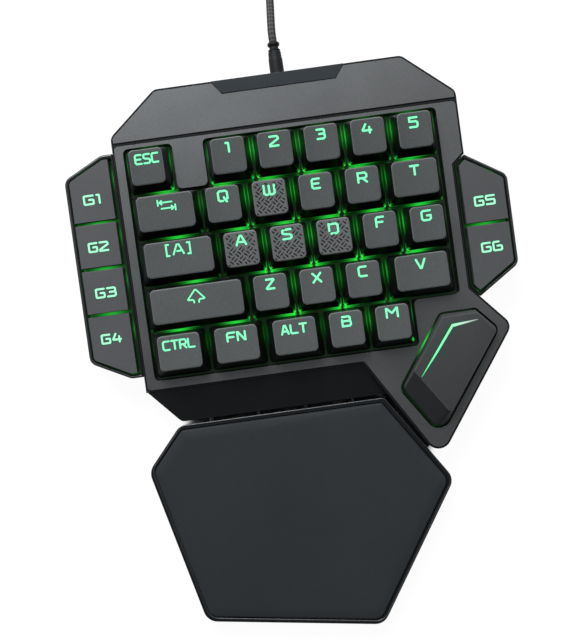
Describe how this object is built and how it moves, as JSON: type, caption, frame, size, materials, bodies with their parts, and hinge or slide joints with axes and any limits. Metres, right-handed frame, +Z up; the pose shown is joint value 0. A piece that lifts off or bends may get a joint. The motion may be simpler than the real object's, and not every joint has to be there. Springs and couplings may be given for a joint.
{
  "type": "one-handed gaming keypad",
  "caption": "Left-hand mechanical gaming keypad with sculpted keycaps, side key wings, a thumb key, a pull-off wrist rest, fold-out tilt feet and a coiled braided cord.",
  "frame": {"origin": "middle of the keypad and wrist rest's outline, on the surface they stand on", "axes": "+X to the typist's right along the key rows, +Y to the rear, +Z up"},
  "size_m": [0.2207, 0.3309, 0.0382],
  "materials": {
    "keycaps": "matt dark grey with a fine grain",
    "frame_paint": "satin dark grey",
    "case_black": "satin black",
    "wing_black": "glossy black",
    "gloss_black": "glossy black",
    "pad_coating": "soft matt coating",
    "housing_black": "black",
    "board": "laminate",
    "light_window": "translucent, lit from below",
    "foot_rubber": "matt",
    "cord_braid": "braided",
    "plug_metal": "plated"
  },
  "bodies": {
    "keypad": {"switch_plate": "housing_black", "circuit_board": "board", "top_frame": "frame_paint", "rear_cover": "frame_paint", "rear_inlay": "gloss_black", "left_wing": "wing_black", "left_button_board": "board", "right_wing": "wing_black", "right_button_board": "board", "bottom_case": "case_black", "front_rubber_foot": "foot_rubber", "left_rubber_foot": "foot_rubber", "right_rubber_foot": "foot_rubber", "strain_relief": "case_black", "cord": "cord_braid", "cord_coil": "cord_braid", "usb_plug": "case_black", "usb_shell": "plug_metal"},
    "wrist_rest": {"wrist_rest_base": "gloss_black", "wrist_rest_pad": "pad_coating", "rest_rear_rubber_foot": "foot_rubber", "rest_front_rubber_foot": "foot_rubber"},
    "left_tilt_foot": {"left_tilt_foot": "case_black"},
    "right_tilt_foot": {"right_tilt_foot": "case_black"},
    "thumb_key": {"thumb_key": "keycaps", "thumb_light": "light_window"},
    "macro_key_1": {"macro_key_1": "keycaps"},
    "macro_key_2": {"macro_key_2": "keycaps"},
    "macro_key_3": {"macro_key_3": "keycaps"},
    "macro_key_4": {"macro_key_4": "keycaps"},
    "macro_key_5": {"macro_key_5": "keycaps"},
    "macro_key_6": {"macro_key_6": "keycaps"},
    "key_control": {"key_control": "keycaps"},
    "key_function": {"key_function": "keycaps"},
    "key_alt": {"key_alt": "keycaps"},
    "key_b": {"key_b": "keycaps"},
    "key_m": {"key_m": "keycaps"},
    "key_shift": {"key_shift": "keycaps"},
    "key_z": {"key_z": "keycaps"},
    "key_x": {"key_x": "keycaps"},
    "key_c": {"key_c": "keycaps"},
    "key_v": {"key_v": "keycaps"},
    "key_caps_lock": {"key_caps_lock": "keycaps"},
    "key_a": {"key_a": "keycaps"},
    "key_s": {"key_s": "keycaps"},
    "key_d": {"key_d": "keycaps"},
    "key_f": {"key_f": "keycaps"},
    "key_g": {"key_g": "keycaps"},
    "key_tab": {"key_tab": "keycaps"},
    "key_q": {"key_q": "keycaps"},
    "key_w": {"key_w": "keycaps"},
    "key_e": {"key_e": "keycaps"},
    "key_r": {"key_r": "keycaps"},
    "key_t": {"key_t": "keycaps"},
    "key_escape": {"key_escape": "keycaps"},
    "key_1": {"key_1": "keycaps"},
    "key_2": {"key_2": "keycaps"},
    "key_3": {"key_3": "keycaps"},
    "key_4": {"key_4": "keycaps"},
    "key_5": {"key_5": "keycaps"}
  },
  "joints": [
    {"name": "wrist_rest_slide", "type": "slide", "parent": "keypad", "child": "wrist_rest", "axis": [0, -1, 0], "range_m": [0, 0.06]},
    {"name": "left_tilt_foot_hinge", "type": "hinge", "parent": "keypad", "child": "left_tilt_foot", "pos_m": [-0.03577, 0.10151, 0.003], "axis": [1, 0, 0], "range_deg": [0, 85]},
    {"name": "right_tilt_foot_hinge", "type": "hinge", "parent": "keypad", "child": "right_tilt_foot", "pos_m": [0.04052, 0.10151, 0.003], "axis": [1, 0, 0], "range_deg": [0, 85]},
    {"name": "thumb_key_slide", "type": "slide", "parent": "keypad", "child": "thumb_key", "axis": [0, 0.0785, -0.9969], "range_m": [0, 0.003], "stiffness_N_per_m": 150, "springref_m": -0.003},
    {"name": "macro_key_1_slide", "type": "slide", "parent": "keypad", "child": "macro_key_1", "axis": [0, 0.0785, -0.9969], "range_m": [0, 0.002], "stiffness_N_per_m": 200, "springref_m": -0.0025},
    {"name": "macro_key_2_slide", "type": "slide", "parent": "keypad", "child": "macro_key_2", "axis": [0, 0.0785, -0.9969], "range_m": [0, 0.002], "stiffness_N_per_m": 200, "springref_m": -0.0025},
    {"name": "macro_key_3_slide", "type": "slide", "parent": "keypad", "child": "macro_key_3", "axis": [0, 0.0785, -0.9969], "range_m": [0, 0.002], "stiffness_N_per_m": 200, "springref_m": -0.0025},
    {"name": "macro_key_4_slide", "type": "slide", "parent": "keypad", "child": "macro_key_4", "axis": [0, 0.0785, -0.9969], "range_m": [0, 0.002], "stiffness_N_per_m": 200, "springref_m": -0.0025},
    {"name": "macro_key_5_slide", "type": "slide", "parent": "keypad", "child": "macro_key_5", "axis": [0, 0.0785, -0.9969], "range_m": [0, 0.002], "stiffness_N_per_m": 200, "springref_m": -0.0025},
    {"name": "macro_key_6_slide", "type": "slide", "parent": "keypad", "child": "macro_key_6", "axis": [0, 0.0785, -0.9969], "range_m": [0, 0.002], "stiffness_N_per_m": 200, "springref_m": -0.0025},
    {"name": "key_control_slide", "type": "slide", "parent": "keypad", "child": "key_control", "axis": [0, 0.0785, -0.9969], "range_m": [0, 0.004], "stiffness_N_per_m": 120, "springref_m": -0.003},
    {"name": "key_function_slide", "type": "slide", "parent": "keypad", "child": "key_function", "axis": [0, 0.0785, -0.9969], "range_m": [0, 0.004], "stiffness_N_per_m": 120, "springref_m": -0.003},
    {"name": "key_alt_slide", "type": "slide", "parent": "keypad", "child": "key_alt", "axis": [0, 0.0785, -0.9969], "range_m": [0, 0.004], "stiffness_N_per_m": 120, "springref_m": -0.003},
    {"name": "key_b_slide", "type": "slide", "parent": "keypad", "child": "key_b", "axis": [0, 0.0785, -0.9969], "range_m": [0, 0.004], "stiffness_N_per_m": 120, "springref_m": -0.003},
    {"name": "key_m_slide", "type": "slide", "parent": "keypad", "child": "key_m", "axis": [0, 0.0785, -0.9969], "range_m": [0, 0.004], "stiffness_N_per_m": 120, "springref_m": -0.003},
    {"name": "key_shift_slide", "type": "slide", "parent": "keypad", "child": "key_shift", "axis": [0, 0.0785, -0.9969], "range_m": [0, 0.004], "stiffness_N_per_m": 120, "springref_m": -0.003},
    {"name": "key_z_slide", "type": "slide", "parent": "keypad", "child": "key_z", "axis": [0, 0.0785, -0.9969], "range_m": [0, 0.004], "stiffness_N_per_m": 120, "springref_m": -0.003},
    {"name": "key_x_slide", "type": "slide", "parent": "keypad", "child": "key_x", "axis": [0, 0.0785, -0.9969], "range_m": [0, 0.004], "stiffness_N_per_m": 120, "springref_m": -0.003},
    {"name": "key_c_slide", "type": "slide", "parent": "keypad", "child": "key_c", "axis": [0, 0.0785, -0.9969], "range_m": [0, 0.004], "stiffness_N_per_m": 120, "springref_m": -0.003},
    {"name": "key_v_slide", "type": "slide", "parent": "keypad", "child": "key_v", "axis": [0, 0.0785, -0.9969], "range_m": [0, 0.004], "stiffness_N_per_m": 120, "springref_m": -0.003},
    {"name": "key_caps_lock_slide", "type": "slide", "parent": "keypad", "child": "key_caps_lock", "axis": [0, 0.0785, -0.9969], "range_m": [0, 0.004], "stiffness_N_per_m": 120, "springref_m": -0.003},
    {"name": "key_a_slide", "type": "slide", "parent": "keypad", "child": "key_a", "axis": [0, 0.0785, -0.9969], "range_m": [0, 0.004], "stiffness_N_per_m": 120, "springref_m": -0.003},
    {"name": "key_s_slide", "type": "slide", "parent": "keypad", "child": "key_s", "axis": [0, 0.0785, -0.9969], "range_m": [0, 0.004], "stiffness_N_per_m": 120, "springref_m": -0.003},
    {"name": "key_d_slide", "type": "slide", "parent": "keypad", "child": "key_d", "axis": [0, 0.0785, -0.9969], "range_m": [0, 0.004], "stiffness_N_per_m": 120, "springref_m": -0.003},
    {"name": "key_f_slide", "type": "slide", "parent": "keypad", "child": "key_f", "axis": [0, 0.0785, -0.9969], "range_m": [0, 0.004], "stiffness_N_per_m": 120, "springref_m": -0.003},
    {"name": "key_g_slide", "type": "slide", "parent": "keypad", "child": "key_g", "axis": [0, 0.0785, -0.9969], "range_m": [0, 0.004], "stiffness_N_per_m": 120, "springref_m": -0.003},
    {"name": "key_tab_slide", "type": "slide", "parent": "keypad", "child": "key_tab", "axis": [0, 0.0785, -0.9969], "range_m": [0, 0.004], "stiffness_N_per_m": 120, "springref_m": -0.003},
    {"name": "key_q_slide", "type": "slide", "parent": "keypad", "child": "key_q", "axis": [0, 0.0785, -0.9969], "range_m": [0, 0.004], "stiffness_N_per_m": 120, "springref_m": -0.003},
    {"name": "key_w_slide", "type": "slide", "parent": "keypad", "child": "key_w", "axis": [0, 0.0785, -0.9969], "range_m": [0, 0.004], "stiffness_N_per_m": 120, "springref_m": -0.003},
    {"name": "key_e_slide", "type": "slide", "parent": "keypad", "child": "key_e", "axis": [0, 0.0785, -0.9969], "range_m": [0, 0.004], "stiffness_N_per_m": 120, "springref_m": -0.003},
    {"name": "key_r_slide", "type": "slide", "parent": "keypad", "child": "key_r", "axis": [0, 0.0785, -0.9969], "range_m": [0, 0.004], "stiffness_N_per_m": 120, "springref_m": -0.003},
    {"name": "key_t_slide", "type": "slide", "parent": "keypad", "child": "key_t", "axis": [0, 0.0785, -0.9969], "range_m": [0, 0.004], "stiffness_N_per_m": 120, "springref_m": -0.003},
    {"name": "key_escape_slide", "type": "slide", "parent": "keypad", "child": "key_escape", "axis": [0, 0.0785, -0.9969], "range_m": [0, 0.004], "stiffness_N_per_m": 120, "springref_m": -0.003},
    {"name": "key_1_slide", "type": "slide", "parent": "keypad", "child": "key_1", "axis": [0, 0.0785, -0.9969], "range_m": [0, 0.004], "stiffness_N_per_m": 120, "springref_m": -0.003},
    {"name": "key_2_slide", "type": "slide", "parent": "keypad", "child": "key_2", "axis": [0, 0.0785, -0.9969], "range_m": [0, 0.004], "stiffness_N_per_m": 120, "springref_m": -0.003},
    {"name": "key_3_slide", "type": "slide", "parent": "keypad", "child": "key_3", "axis": [0, 0.0785, -0.9969], "range_m": [0, 0.004], "stiffness_N_per_m": 120, "springref_m": -0.003},
    {"name": "key_4_slide", "type": "slide", "parent": "keypad", "child": "key_4", "axis": [0, 0.0785, -0.9969], "range_m": [0, 0.004], "stiffness_N_per_m": 120, "springref_m": -0.003},
    {"name": "key_5_slide", "type": "slide", "parent": "keypad", "child": "key_5", "axis": [0, 0.0785, -0.9969], "range_m": [0, 0.004], "stiffness_N_per_m": 120, "springref_m": -0.003}
  ]
}
